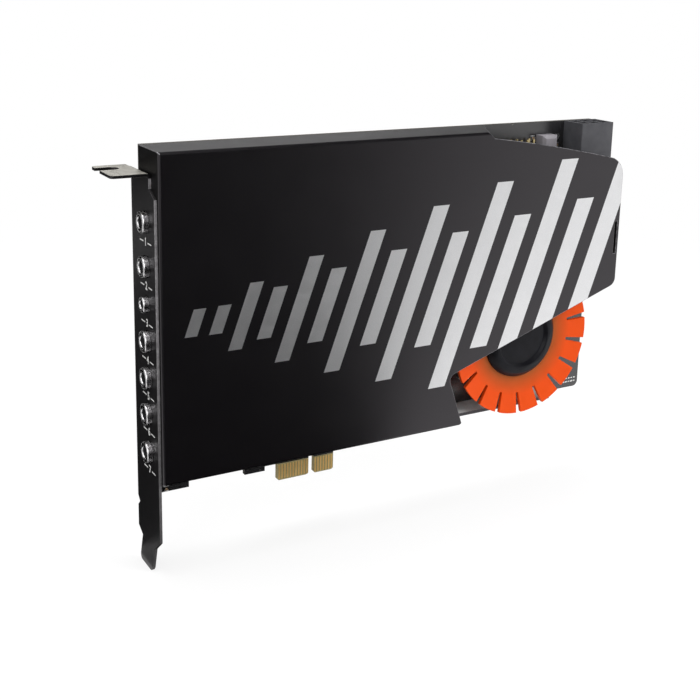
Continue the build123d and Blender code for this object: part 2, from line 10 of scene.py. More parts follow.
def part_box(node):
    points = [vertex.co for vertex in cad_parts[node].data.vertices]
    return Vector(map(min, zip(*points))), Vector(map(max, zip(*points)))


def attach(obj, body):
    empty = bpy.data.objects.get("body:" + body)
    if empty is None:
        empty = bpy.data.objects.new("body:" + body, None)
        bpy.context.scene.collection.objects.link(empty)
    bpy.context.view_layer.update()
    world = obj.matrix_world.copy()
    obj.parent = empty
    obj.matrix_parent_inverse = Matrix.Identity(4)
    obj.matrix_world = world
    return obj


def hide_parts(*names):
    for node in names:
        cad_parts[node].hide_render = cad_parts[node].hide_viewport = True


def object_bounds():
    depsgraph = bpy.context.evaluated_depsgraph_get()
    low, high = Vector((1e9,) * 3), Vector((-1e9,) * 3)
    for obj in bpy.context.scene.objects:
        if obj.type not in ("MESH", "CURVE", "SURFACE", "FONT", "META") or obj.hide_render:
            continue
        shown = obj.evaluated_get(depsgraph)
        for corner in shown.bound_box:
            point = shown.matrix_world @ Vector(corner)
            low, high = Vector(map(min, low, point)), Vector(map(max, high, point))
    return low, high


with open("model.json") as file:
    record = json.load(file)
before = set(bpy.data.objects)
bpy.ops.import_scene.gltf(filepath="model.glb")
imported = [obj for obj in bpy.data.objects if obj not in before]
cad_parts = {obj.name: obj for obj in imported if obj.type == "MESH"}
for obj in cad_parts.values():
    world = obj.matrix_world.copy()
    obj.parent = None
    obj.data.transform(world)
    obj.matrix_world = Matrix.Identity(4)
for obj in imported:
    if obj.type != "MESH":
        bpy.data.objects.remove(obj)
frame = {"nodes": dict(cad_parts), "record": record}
cad_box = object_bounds()
nodes = frame["nodes"]
MM = 0.001
JACKS = range(1, 8)  # counted from the top


def box_mm(node):
    """A node's lowest and highest corner in millimetres."""
    low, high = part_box(node)
    return low / MM, high / MM


def middle_mm(node):
    """The middle of a node's box in millimetres."""
    low, high = box_mm(node)
    return (low + high) / 2


# Two sizes of the card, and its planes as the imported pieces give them, in millimetres
BARREL_REACH = 1.75  # out of the bracket
SHEET = 1.2  # thickness of the cover
board_low, board_high = box_mm("circuit_board")
cover_low, cover_high = box_mm("shroud")
FACE = board_low.y  # component side of the board
BACK = board_high.y
BRACKET_IN = cover_low.x
BRACKET_OUT = box_mm("jack_barrel_1")[0].x + BARREL_REACH
FLOOR = cad_box[0].z / MM


# Node helpers

NOISE_LOW = 0.3  # most values of a noise lie between these two
NOISE_HIGH = 0.7


def make_material(name, color, roughness, metallic=0.0, **sockets):
    """A Principled material with its constants on the shader's own sockets."""
    mat = bpy.data.materials.new(name)
    mat.use_nodes = True
    bsdf = mat.node_tree.nodes["Principled BSDF"]
    bsdf.inputs["Base Color"].default_value = (*color, 1.0)
    bsdf.inputs["Roughness"].default_value = roughness
    bsdf.inputs["Metallic"].default_value = metallic
    for key, value in sockets.items():
        bsdf.inputs[key.replace("_", " ")].default_value = value
    return mat


def add(mat, kind, **settings):
    made = mat.node_tree.nodes.new(kind)
    for key, value in settings.items():
        setattr(made, key, value)
    return made


def link(mat, source, target):
    mat.node_tree.links.new(source, target)


def socket(mat, name):
    """An input of the material's shader."""
    return mat.node_tree.nodes["Principled BSDF"].inputs[name]


def coords(mat, stretch=(1, 1, 1)):
    """Object coordinates in millimetres, stretched along each axis."""
    place = add(mat, "ShaderNodeTexCoord")
    mapping = add(mat, "ShaderNodeMapping")
    mapping.inputs["Scale"].default_value = [s / MM for s in stretch]
    link(mat, place.outputs["Object"], mapping.inputs["Vector"])
    return mapping.outputs["Vector"]


def calc(mat, operation, a, b=None, c=None, clamp=False):
    """A math node on numbers or sockets."""
    made = add(mat, "ShaderNodeMath", operation=operation, use_clamp=clamp)
    for index, value in enumerate((a, b, c)):
        if isinstance(value, (int, float)):
            made.inputs[index].default_value = value
        elif value is not None:
            link(mat, value, made.inputs[index])
    return made.outputs[0]


def axes(mat):
    """Object x, y and z in millimetres."""
    split = add(mat, "ShaderNodeSeparateXYZ")
    link(mat, coords(mat), split.inputs[0])
    return split.outputs


def noise(mat, scale, detail=3.0, stretch=(1, 1, 1)):
    """Noise with about scale features per millimetre."""
    made = add(mat, "ShaderNodeTexNoise")
    made.inputs["Scale"].default_value = scale
    made.inputs["Detail"].default_value = detail
    link(mat, coords(mat, stretch), made.inputs["Vector"])
    return made.outputs["Fac"]


def cells(mat, scale, vector, **settings):
    """A Voronoi node with about scale cells per millimetre."""
    made = add(mat, "ShaderNodeTexVoronoi", **settings)
    made.inputs["Scale"].default_value = scale
    link(mat, vector, made.inputs["Vector"])
    return made


def cell_number(mat, voronoi):
    """A number between zero and one that is the same all over a cell."""
    split = add(mat, "ShaderNodeSeparateColor")
    link(mat, voronoi.outputs["Color"], split.inputs[0])
    return split.outputs[0]


def spread(mat, value, low, high, to_low=0.0, to_high=1.0):
    """Map a value from one range to another, held at the ends."""
    made = add(mat, "ShaderNodeMapRange")
    for name, number in zip(("From Min", "From Max", "To Min", "To Max"), (low, high, to_low, to_high)):
        made.inputs[name].default_value = number
    link(mat, value, made.inputs["Value"])
    return made.outputs["Result"]


def blend(mat, factor, low, high):
    """Mix two colours, each a tuple or a socket."""
    made = add(mat, "ShaderNodeMix", data_type="RGBA")
    link(mat, factor, made.inputs["Factor"])
    for name, value in (("A", low), ("B", high)):
        target = [s for s in made.inputs if s.name == name and s.type == "RGBA"][0]
        if isinstance(value, tuple):
            target.default_value = (*value, 1.0)
        else:
            link(mat, value, target)
    return [s for s in made.outputs if s.type == "RGBA"][0]


def bump(mat, height, strength, distance):
    """Raise the surface by a height, with the distance in millimetres."""
    made = add(mat, "ShaderNodeBump")
    made.inputs["Strength"].default_value = strength
    made.inputs["Distance"].default_value = distance * MM
    link(mat, height, made.inputs["Height"])
    link(mat, made.outputs["Normal"], socket(mat, "Normal"))


def vary(mat, name, value, low, high):
    """Let a noise steer one socket between two numbers."""
    link(mat, spread(mat, value, NOISE_LOW, NOISE_HIGH, low, high), socket(mat, name))


def mottle(mat, value, low, high):
    """A colour that a noise steers between two colours."""
    return blend(mat, spread(mat, value, NOISE_LOW, NOISE_HIGH), low, high)


def tint(mat, value, low, high):
    """Let a noise steer the base colour between two colours."""
    link(mat, mottle(mat, value, low, high), socket(mat, "Base Color"))


# Materials of sheet metal, paint and print

EDGE_SHADE_TOP = 60.0  # height up to which the edges are darkened towards the foot, a painted shade; above it they have their full brightness


def black_paint(name, low, high, roughness, specular):
    """Satin paint on sheet metal: orange peel, fine pimples and a slightly uneven sheen."""
    mat = make_material(
        name, high, roughness, Specular_IOR_Level=specular, Specular_Tint=(1.0, 0.94, 1.0, 1.0)
    )
    tint(mat, noise(mat, 3.0), low, high)
    vary(mat, "Roughness", noise(mat, 0.08, 2.0), roughness - 0.015, roughness + 0.015)
    pimples = calc(mat, "MULTIPLY", noise(mat, 6.0, 2.0), 0.3)
    bump(mat, calc(mat, "ADD", noise(mat, 0.9, 1.0), pimples), 0.10, 0.02)
    return mat


def bare_edge(name, low, high, metallic, dull=1.0):
    """Pale steel colour on sheet edges, partly rubbed paint and partly a painted highlight. Towards the foot
    it fades to its mean colour times the last argument, a painted shade where that is below one.
    """
    mat = make_material(name, high, 0.42, metallic)
    rub = noise(mat, 0.8, 5.0)
    steel = mottle(mat, rub, low, high)
    # painted shade: the colour at the foot, the mean colour times the last argument
    foot = tuple(dull * (a + b) / 2 for a, b in zip(low, high))
    rise = spread(mat, axes(mat)[2], FLOOR, EDGE_SHADE_TOP)
    link(mat, blend(mat, rise, foot, steel), socket(mat, "Base Color"))
    vary(mat, "Roughness", rub, 0.36, 0.52)
    return mat


def sheet_metal(name, low, high, roughness, metallic):
    """Plated sheet with a faint crystal pattern and rolling lines."""
    mat = make_material(name, high, roughness, metallic)
    crystals = cell_number(mat, cells(mat, 0.4, coords(mat)))
    lines = noise(mat, 2.5, 3.0, (0.05, 1, 1))
    mixed = calc(mat, "ADD", calc(mat, "MULTIPLY", crystals, 0.4), calc(mat, "MULTIPLY", lines, 0.6))
    tint(mat, mixed, low, high)
    vary(mat, "Roughness", mixed, roughness - 0.06, roughness + 0.08)
    bump(mat, lines, 0.06, 0.01)
    return mat


def silver_print(name):
    """Metallic ink with fine flakes."""
    mat = make_material(name, (0.74, 0.74, 0.75), 0.32, 0.92)
    flakes = noise(mat, 9.0, 1.0)
    tint(mat, flakes, (0.75, 0.75, 0.76), (0.86, 0.86, 0.87))
    vary(mat, "Roughness", noise(mat, 0.5), 0.29, 0.37)
    bump(mat, flakes, 0.05, 0.01)
    return mat


# Material of the board

TAB_MIDDLE = -2.0  # the tab's bare area
TAB_HALF = 10.3
TAB_TOP = 5.9
TRACK_SHARE = 0.40  # copper's share of a track's pitch
TRACK_PITCH = 1.1
SLANTED_PITCH = 1.6


def copper_tracks(mat, flat, x, z):
    """One on copper: fields of level, slanted and upright tracks, with plain fields between them."""
    fields = cells(mat, 0.075, flat, distance="CHEBYCHEV")
    fields.inputs["Randomness"].default_value = 0.8
    kind = cell_number(mat, fields)

    def tracks(value, pitch, chosen):
        step = calc(mat, "FRACT", calc(mat, "MULTIPLY", value, 1 / pitch))
        return calc(mat, "MULTIPLY", calc(mat, "LESS_THAN", step, TRACK_SHARE), chosen)

    level = tracks(z, TRACK_PITCH, calc(mat, "LESS_THAN", kind, 0.24))
    slanted = tracks(calc(mat, "ADD", x, z), SLANTED_PITCH, calc(mat, "GREATER_THAN", kind, 0.84))
    upright = tracks(x, TRACK_PITCH, calc(mat, "COMPARE", kind, 0.56, 0.12))
    return calc(mat, "ADD", calc(mat, "ADD", level, slanted), upright, clamp=True)


def cut_edges(mat):
    """One where the board faces neither front nor back."""
    geometry = add(mat, "ShaderNodeNewGeometry")
    facing = add(mat, "ShaderNodeSeparateXYZ")
    link(mat, geometry.outputs["Normal"], facing.inputs[0])
    return calc(mat, "LESS_THAN", calc(mat, "ABSOLUTE", facing.outputs[1]), 0.9)


def board_mask(name):
    """Black solder mask over copper tracks, dark cut edges, and bare laminate on the tab."""
    mat = make_material(name, (0.018, 0.018, 0.019), 0.3, Specular_IOR_Level=1.0)
    x, _, z = axes(mat)
    flat = coords(mat, (1, 0, 1))
    copper = copper_tracks(mat, flat, x, z)
    via = spread(mat, cells(mat, 0.23, flat).outputs["Distance"], 0.10, 0.075)
    mask = blend(mat, copper, (0.016, 0.0155, 0.017), (0.020, 0.0195, 0.021))
    mask = blend(mat, via, mask, (0.075, 0.070, 0.058))
    edge = cut_edges(mat)
    across = calc(mat, "ABSOLUTE", calc(mat, "SUBTRACT", x, TAB_MIDDLE))
    is_low = calc(mat, "LESS_THAN", z, TAB_TOP)
    tab = calc(mat, "MULTIPLY", is_low, calc(mat, "LESS_THAN", across, TAB_HALF))
    weave = noise(mat, 1.4, 3.0, (1, 3, 1))
    glass = blend(mat, weave, (0.24, 0.19, 0.075), (0.38, 0.32, 0.14))
    sawn = blend(mat, weave, (0.018, 0.015, 0.010), (0.045, 0.038, 0.024))
    color = blend(mat, edge, mask, sawn)
    link(mat, blend(mat, tab, color, glass), socket(mat, "Base Color"))
    dull = calc(mat, "MAXIMUM", edge, tab)
    link(mat, spread(mat, dull, 0, 1, 0.26, 0.6), socket(mat, "Roughness"))
    bump(mat, calc(mat, "ADD", copper, calc(mat, "MULTIPLY", via, -0.6)), 0.05, 0.02)
    return mat


# Materials of the parts

OP_AMP_HALF = 1.96  # half the width of an amplifier's body, inside its leads
CAN_BASE = 1.2  # height of a capacitor's black base
DISH_END = 14.0  # radius up to which the ring's dish has its full painted shade
BLADE_START = 21.0  # radius from which the blades have their own colour, out of the painted shade


def gold_contact(name):
    """Thin gold over nickel, with the fine upright scratches of a slot."""
    mat = make_material(name, (0.80, 0.58, 0.24), 0.36, 0.7)
    rub = noise(mat, 6.0, 3.0, (1, 1, 0.08))
    tint(mat, rub, (0.90, 0.57, 0.17), (1.00, 0.73, 0.31))
    vary(mat, "Roughness", rub, 0.32, 0.48)
    bump(mat, rub, 0.15, 0.01)
    return mat


def plated(name, low, high, roughness):
    """Bright or dull plated metal with faint smears."""
    mat = make_material(name, high, roughness, 1.0)
    smear = noise(mat, 0.9, 4.0)
    tint(mat, smear, low, high)
    vary(mat, "Roughness", smear, roughness - 0.05, roughness + 0.07)
    bump(mat, noise(mat, 8.0, 2.0), 0.06, 0.01)
    return mat


def moulding(name, low, high, roughness, grain=4.0, specular=0.5):
    """Moulded plastic or pressed epoxy with a fine eroded grain."""
    mat = make_material(name, high, roughness, Specular_IOR_Level=specular)
    tint(mat, noise(mat, 0.3), low, high)
    vary(mat, "Roughness", noise(mat, 1.5), roughness - 0.05, roughness + 0.06)
    bump(mat, noise(mat, grain), 0.18, 0.02)
    return mat


def op_amp_moulding(name):
    """Chip epoxy with tinned leads outside the body's width."""
    mat = make_material(name, (0.03, 0.03, 0.03), 0.5)
    off = calc(mat, "ABSOLUTE", calc(mat, "SUBTRACT", axes(mat)[0], middle_mm("op_amps").x))
    lead = calc(mat, "GREATER_THAN", off, OP_AMP_HALF)
    epoxy = blend(mat, noise(mat, 1.5), (0.022, 0.022, 0.023), (0.038, 0.038, 0.039))
    link(mat, blend(mat, lead, epoxy, (0.62, 0.62, 0.60)), socket(mat, "Base Color"))
    link(mat, lead, socket(mat, "Metallic"))
    link(mat, spread(mat, lead, 0, 1, 0.58, 0.32), socket(mat, "Roughness"))
    bump(mat, noise(mat, 6.0), 0.2, 0.02)
    return mat


def can_aluminium(name):
    """Aluminium cans on black bases."""
    mat = make_material(name, (0.75, 0.75, 0.76), 0.35, 1.0)
    base = calc(mat, "GREATER_THAN", axes(mat)[1], FACE - CAN_BASE)
    can = blend(mat, noise(mat, 2.0, 3.0, (1, 0.2, 1)), (0.60, 0.60, 0.62), (0.80, 0.80, 0.81))
    link(mat, blend(mat, base, can, (0.02, 0.02, 0.021)), socket(mat, "Base Color"))
    link(mat, calc(mat, "SUBTRACT", 1.0, base), socket(mat, "Metallic"))
    vary(mat, "Roughness", noise(mat, 1.0), 0.30, 0.42)
    return mat


def orange_moulding(name):
    """Orange plastic, darker and browner in the dish near the hub, a painted shade."""
    mat = make_material(name, (0.63, 0.060, 0.004), 0.42, Specular_IOR_Level=0.12)
    middle = middle_mm("accent_ring")
    x, _, z = axes(mat)
    across = calc(mat, "SUBTRACT", x, middle.x)
    up = calc(mat, "SUBTRACT", z, middle.z)
    squares = calc(mat, "ADD", calc(mat, "MULTIPLY", across, across), calc(mat, "MULTIPLY", up, up))
    rim = spread(mat, calc(mat, "SQRT", squares), DISH_END, BLADE_START)
    flow = noise(mat, 0.25)
    # painted shade: the dish near the hub is dark brown, the blades are the plastic's own orange
    dish = blend(mat, flow, (0.23, 0.062, 0.011), (0.28, 0.074, 0.014))
    blade = blend(mat, flow, (0.60, 0.056, 0.003), (0.66, 0.064, 0.004))
    link(mat, blend(mat, rim, dish, blade), socket(mat, "Base Color"))
    vary(mat, "Roughness", noise(mat, 0.8), 0.38, 0.48)
    bump(mat, noise(mat, 5.0, 2.0), 0.08, 0.02)
    return mat


# Each look's name, its kind, the darker and the lighter colour, and the kind's other values
LOOKS = (
    ("cover_paint", black_paint, (0.0026, 0.0023, 0.0028), (0.0038, 0.0034, 0.0041), 0.30, 0.68),
    # left wall of the cover: a darker, duller copy of the cover paint, painted shade
    ("shaded_wall_paint", black_paint, (0.0016, 0.0015, 0.0016), (0.0024, 0.0022, 0.0024), 0.46, 0.14),
    ("bracket_paint", black_paint, (0.0045, 0.0043, 0.0046), (0.0062, 0.0060, 0.0064), 0.38, 0.40),
    # rounded edges of the cover: rubbed paint that is also a painted highlight
    ("worn_edge_and_highlight", bare_edge, (0.07, 0.07, 0.075), (0.36, 0.35, 0.37), 0.7),
    # cut edge of the bracket: a painted highlight, darker towards the foot by a painted shade
    ("cut_edge_highlight", bare_edge, (0.22, 0.21, 0.22), (0.36, 0.35, 0.36), 0.3, 0.12),
    ("bare_steel", sheet_metal, (0.40, 0.385, 0.34), (0.50, 0.485, 0.44), 0.42, 0.7),
    # inner faces of the cover: bare zinc, lightened near white as painted light
    ("zinc_and_painted_light", sheet_metal, (0.74, 0.75, 0.75), (0.86, 0.87, 0.87), 0.50, 0.05),
    ("silver_print", silver_print),
    ("white_print", moulding, (0.54, 0.54, 0.53), (0.66, 0.66, 0.65), 0.5, 6.0),
    ("board_mask", board_mask),
    ("gold_contact", gold_contact),
    ("plated_barrel", plated, (0.62, 0.61, 0.62), (0.74, 0.73, 0.74), 0.22),
    ("black_moulding", moulding, (0.013, 0.013, 0.0145), (0.021, 0.021, 0.023), 0.40),
    ("socket_moulding", moulding, (0.050, 0.050, 0.056), (0.066, 0.066, 0.072), 0.45, 4.0, 0.25),
    ("orange_moulding", orange_moulding),
    ("hub_moulding", moulding, (0.0045, 0.0045, 0.0060), (0.0075, 0.0075, 0.0100), 0.34, 6.0, 0.13),
    ("screw_steel", plated, (0.42, 0.42, 0.43), (0.62, 0.62, 0.63), 0.30),
    ("pillar_brass", plated, (0.58, 0.45, 0.20), (0.72, 0.58, 0.30), 0.32),
    ("pin_metal", plated, (0.70, 0.56, 0.28), (0.80, 0.66, 0.36), 0.24),
    ("solder", plated, (0.52, 0.52, 0.53), (0.72, 0.72, 0.72), 0.28),
    ("chip_moulding", moulding, (0.022, 0.022, 0.023), (0.036, 0.036, 0.037), 0.55, 6.0),
    ("op_amp_moulding", op_amp_moulding),
    ("can_aluminium", can_aluminium),
    ("oscillator_can", plated, (0.52, 0.52, 0.53), (0.70, 0.70, 0.71), 0.26),
    ("relay_moulding", moulding, (0.52, 0.52, 0.50), (0.62, 0.62, 0.60), 0.45),
    ("inductor_ferrite", moulding, (0.170, 0.160, 0.175), (0.220, 0.208, 0.226), 0.5, 3.0),
    ("lamp_lens", moulding, (0.80, 0.78, 0.66), (0.90, 0.88, 0.78), 0.25, 5.0),
    ("ceramic", moulding, (0.20, 0.13, 0.07), (0.30, 0.20, 0.11), 0.45, 5.0),
)
MATERIALS = {name: maker(name, *values) for name, maker, *values in LOOKS}


# Shape helpers

WELD = 0.002  # vertices this near to each other are one
CUT_MARGIN = 0.0005  # vertices this near to a cutting plane lie on it
SHARP = math.radians(40)  # edges sharper than this are rounded
FACING = 0.9  # least share of a normal along the axis that its face looks along


def in_scene(name, data):
    """A new object in the scene."""
    made = bpy.data.objects.new(name, data)
    bpy.context.scene.collection.objects.link(made)
    return made


def new_piece(name, mesh, materials, slot, *replaced):
    """Put a mesh in the scene as a piece of the card."""
    piece = in_scene(name, mesh)
    for key in materials:
        mesh.materials.append(MATERIALS[key])
    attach(piece, "root")
    if replaced:
        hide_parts(*replaced)
    return piece


def welded(node):
    """A copy of a node's mesh with joined vertices and whole flat faces, ready for bevels and cuts."""
    bm = bmesh.new()
    bm.from_mesh(nodes[node].data)
    bmesh.ops.remove_doubles(bm, verts=bm.verts, dist=WELD * MM)
    bmesh.ops.dissolve_limit(bm, angle_limit=math.radians(0.5), verts=bm.verts, edges=bm.edges)
    bmesh.ops.recalc_face_normals(bm, faces=bm.faces)
    for face in bm.faces:
        face.material_index = 0
    return bm


def round_edges(bm, width, material=-1):
    """Round the sharp outer edges; the new faces get the material number, or their neighbours'."""
    sharp = [e for e in bm.edges if len(e.link_faces) == 2 and e.calc_face_angle_signed(0) > SHARP]
    bmesh.ops.bevel(
        bm, geom=sharp, offset=width * MM, segments=2, profile=0.5, affect="EDGES",
        clamp_overlap=True, material=material,
    )


def cut_faces(bm, faces, point, normal):
    """Cut only these faces along a plane, given by a point in millimetres and a normal."""
    parts = [*faces]
    for face in faces:
        parts += [*face.edges, *face.verts]
    bmesh.ops.bisect_plane(
        bm, geom=list(dict.fromkeys(parts)), dist=CUT_MARGIN * MM,
        plane_co=Vector(point) * MM, plane_no=Vector(normal),
    )


def smooth(mesh, sharp):
    """Shade a mesh smooth but for its sharp edges."""
    for polygon in mesh.polygons:
        polygon.use_smooth = True
    mesh.set_sharp_from_angle(angle=math.radians(sharp))
    return mesh


def to_mesh(bm, name, sharp=32):
    """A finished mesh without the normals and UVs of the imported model."""
    mesh = bpy.data.meshes.new(name)
    bm.to_mesh(mesh)
    bm.free()
    for attribute in ("custom_normal", "UVMap"):
        if attribute in mesh.attributes:
            mesh.attributes.remove(mesh.attributes[attribute])
    return smooth(mesh, sharp)


def evaluated_mesh(holder):
    """An object's mesh after its modifiers or text are worked out."""
    graph = bpy.context.evaluated_depsgraph_get()
    return bpy.data.meshes.new_from_object(holder.evaluated_get(graph))


def flat_faces_lead(piece):
    """Let the large flat faces set the normals along their borders."""
    made = piece.modifiers.new("normals", "WEIGHTED_NORMAL")
    made.keep_sharp = True


def bevel(piece, width, segments):
    made = piece.modifiers.new("edges", "BEVEL")
    made.width = width * MM
    made.segments = segments
    made.limit_method = "ANGLE"
    made.angle_limit = SHARP
    made.harden_normals = True


def circle(bm, radius, segments, place):
    """A ring of vertices; place turns the two offsets of a point, in millimetres, into its position."""
    ring = []
    for index in range(segments):
        angle = 2 * math.pi * index / segments
        ring.append(bm.verts.new(place(radius * math.cos(angle), radius * math.sin(angle))))
    return ring


def band(bm, low, high):
    """Faces between two rings."""
    made = []
    for index in range(len(low)):
        after = (index + 1) % len(low)
        made.append(bm.faces.new((low[index], low[after], high[after], high[index])))
    return made


def lathe(bm, profile, matrix, segments, dark):
    """Turn (radius, height) points about the local Z axis; the first dark stretches get material 1."""
    rings = []
    for radius, height in profile:
        rings.append(circle(bm, radius, segments, lambda a, b: matrix @ (Vector((a, b, height)) * MM)))
    for number, (low, high) in enumerate(zip(rings, rings[1:] + rings[:1])):
        for face in band(bm, low, high):
            face.material_index = 1 if number < dark else 0
    bmesh.ops.recalc_face_normals(bm, faces=bm.faces)


def bead(bm, x, z, radius, rise, index=0, segments=12, steps=4):
    """A small dome of solder on the back of the board, with a material number."""
    made = []
    last = None
    for step in range(steps):
        angle = math.pi / 2 * step / steps
        y = BACK + rise * math.sin(angle)
        ring = circle(bm, radius * math.cos(angle), segments, lambda a, b: Vector((x + a, y, z + b)) * MM)
        made += band(bm, last, ring) if last else [bm.faces.new(ring)]
        last = ring
    made.append(bm.faces.new(last))
    for face in made:
        face.material_index = index


def brick(bm, x, y, z, index=0):
    """A box from three (low, high) ranges in millimetres, with a material number."""
    corners = [bm.verts.new(Vector((a, b, c)) * MM) for a in x for b in y for c in z]
    for quad in ((0, 1, 3, 2), (4, 6, 7, 5), (0, 4, 5, 1), (2, 3, 7, 6), (0, 2, 6, 4), (1, 5, 7, 3)):
        bm.faces.new([corners[i] for i in quad]).material_index = index


def around(value, half):
    """The range that reaches half to each side of a value."""
    return value - half, value + half


def islands(bm):
    """Groups of joined vertices, in the mesh's own order."""
    seen = set()
    groups = []
    for start in bm.verts:
        if start in seen:
            continue
        seen.add(start)
        group = [start]
        for vert in group:
            for edge in vert.link_edges:
                other = edge.other_vert(vert)
                if other not in seen:
                    seen.add(other)
                    group.append(other)
        groups.append(group)
    return groups


def middle_of(verts):
    """The (x, z) middle of some vertices in millimetres."""
    xs = [v.co.x / MM for v in verts]
    zs = [v.co.z / MM for v in verts]
    return (min(xs) + max(xs)) / 2, (min(zs) + max(zs)) / 2


def middles(node):
    """The (x, z) middle of each solid of a node in millimetres."""
    bm = welded(node)
    spots = sorted(middle_of(solid) for solid in islands(bm))
    bm.free()
    return spots


# Cover with its printed design: slanted level bars that grow towards the far end

LEAN = 0.36  # sideways lean of a bar per height
BAR_MIDDLE = 62.0  # height of the bars' middles
BAR_START = -46.0  # middle of the first bar
BAR_COUNT = 15
BAR_WIDTH = 3.8
BAR_GAP = 3.8
BAR_REACH = 4.0  # half the first bar's height
WIDTH_STEP = 0.26  # what each bar adds to these three
GAP_STEP = 0.16
REACH_STEP = 2.9
SHORT_BAR = 0.6  # every second bar's share of its height
COVER_ROUND = 0.16  # width of the sheet's rounded edges, which show rubbed paint and a painted highlight
WALL_MARGIN = 0.1  # faces this near to a wall's plane belong to it
NEAR = 0.01  # margin for faces that end on a cut
ON_PLANE = 0.002  # vertices this near to the front plane lie on it


def level_bars():
    """Each bar as (place along the slant, low end, high end, width)."""
    bars = []
    place = BAR_START
    for index in range(BAR_COUNT):
        width = BAR_WIDTH + WIDTH_STEP * index
        reach = BAR_REACH + REACH_STEP * index
        if index % 2:
            reach *= SHORT_BAR
        bars.append((place, BAR_MIDDLE - reach, BAR_MIDDLE + reach, width))
        place += width + BAR_GAP + GAP_STEP * index
    return bars


def along_slant(x, z):
    return x - LEAN * (z - BAR_MIDDLE)


def is_front(face):
    """True on the front plate's flat outer face."""
    return face.normal.y < -0.999 and all(abs(v.co.y / MM - cover_low.y) < ON_PLANE for v in face.verts)


def cut_front(bm, point, normal, inside):
    """Cut the front plate along a line, only in the faces that inside accepts."""
    cut_faces(bm, [f for f in bm.faces if is_front(f) and inside(f)], point, normal)


def reaches(low, high):
    """A test for faces that overlap a height range."""
    def test(face):
        heights = [v.co.z / MM for v in face.verts]
        return min(heights) < high and max(heights) > low
    return test


def within_bar(bar, level):
    """A test for faces inside one bar's slanted strip that cross a level."""
    place, _, _, width = bar
    left, right = around(place, width / 2 + NEAR)

    def test(face):
        slants = [along_slant(v.co.x / MM, v.co.z / MM) for v in face.verts]
        return min(slants) > left and max(slants) < right and reaches(*around(level, NEAR))(face)
    return test


def in_bar(bar, x, z):
    """True for a spot of the front plate inside a bar."""
    place, low, high, width = bar
    return abs(along_slant(x, z) - place) < width / 2 and low < z < high


def is_inner(face):
    """True on the cover's inner faces: bare zinc, in a colour made near white as painted light on the shaded
    ledge.
    """
    normal = face.normal
    middle = face.calc_center_median() / MM
    reach = SHEET + WALL_MARGIN
    return (
        (normal.y > FACING and middle.y < cover_low.y + reach)
        or (normal.z < -FACING and middle.z > cover_high.z - reach)
        or (normal.z > FACING and middle.z < cover_low.z + reach)
        or (normal.x > FACING and middle.x < cover_low.x + reach)
        or (normal.x < -FACING and middle.x > cover_high.x - reach and middle.y > cover_low.y + SHEET)
    )


def is_left_wall(face):
    """True on the outer face of the wall behind the bracket, which gets a darker, duller copy of the cover
    paint as painted shade.
    """
    return face.normal.x < -FACING and face.calc_center_median().x / MM < cover_low.x + WALL_MARGIN


def make_cover():
    materials = ("cover_paint", "silver_print", "zinc_and_painted_light", "worn_edge_and_highlight", "shaded_wall_paint")
    _, silver, zinc, worn, wall = range(len(materials))
    bm = welded("shroud")
    for face in bm.faces:
        if is_inner(face):
            face.material_index = zinc
        elif is_left_wall(face):
            face.material_index = wall
    # the rounded edges get rubbed paint that is also a painted highlight
    round_edges(bm, COVER_ROUND, worn)
    bars = level_bars()
    for place, low, high, width in bars:
        for edge in around(place, width / 2):
            cut_front(bm, (edge, cover_low.y, BAR_MIDDLE), (1, 0, -LEAN), reaches(low, high))
    for bar in bars:
        for level in bar[1:3]:
            cut_front(bm, (0, cover_low.y, level), (0, 0, 1), within_bar(bar, level))
    for face in bm.faces:
        if is_front(face):
            middle = face.calc_center_median() / MM
            if any(in_bar(bar, middle.x, middle.z) for bar in bars):
                face.material_index = silver
    cover = new_piece("cover", to_mesh(bm, "cover", 20), materials, "cover_paint", "shroud")
    flat_faces_lead(cover)


# Bracket with a bare flange, and a painted highlight along its near cut edge that darkens towards the foot, a
# painted shade

FLANGE_DEPTH = 1.4  # flange and its fold
BRACKET_ROUND = 0.10
FOLD_REACH = 1.0  # a cut edge's middle lies at most this far out of the bracket
CUT_FACING = 0.8  # like FACING, for cut edges


def make_bracket():
    materials = ("bracket_paint", "bare_steel", "cut_edge_highlight")
    _, steel, cut = range(len(materials))
    bm = welded("bracket")
    flange = box_mm("bracket")[1].z - FLANGE_DEPTH
    cut_faces(bm, [f for f in bm.faces if f.normal.y < -CUT_FACING], (0, 0, flange), (0, 0, 1))
    for face in bm.faces:
        middle = face.calc_center_median() / MM
        if abs(face.normal.z) > FACING and middle.z > flange and middle.x < BRACKET_OUT:
            face.material_index = steel
        # the near cut edge gets a pale colour, a painted highlight
        elif face.normal.y < -CUT_FACING and middle.x > BRACKET_OUT - FOLD_REACH and middle.z < flange:
            face.material_index = cut
    round_edges(bm, BRACKET_ROUND)
    mesh = to_mesh(bm, "slot_bracket", 20)
    bracket = new_piece("slot_bracket", mesh, materials, "bracket_paint", "bracket")
    flat_faces_lead(bracket)


# Plain printed numbers below the jacks, between two short rules

PRINT_FILM = 0.02  # how far printed marks stand out
NUMBER_DROP = 5.7  # below the jack's axis
NUMBER_SIZE = 3.3
NUMBER_WEIGHT = 0.07  # how far the strokes are thickened
RULE_START = 1.7  # from the number's middle
RULE_END = 4.6
RULE_WIDTH = 0.36
NUMBER_WELD = 0.001
THIN_FACE = 0.004  # faces thinner than this are dissolved


def digit_mesh(number):
    """A number as a thin mesh that stands in the local XY plane."""
    text = bpy.data.curves.new("number", "FONT")
    text.body = str(number)
    text.size = NUMBER_SIZE * MM
    text.align_x = "CENTER"
    text.align_y = "CENTER"
    text.extrude = PRINT_FILM * MM
    text.offset = NUMBER_WEIGHT * MM
    holder = in_scene("number", text)
    digit = evaluated_mesh(holder)
    bpy.data.objects.remove(holder)
    return digit


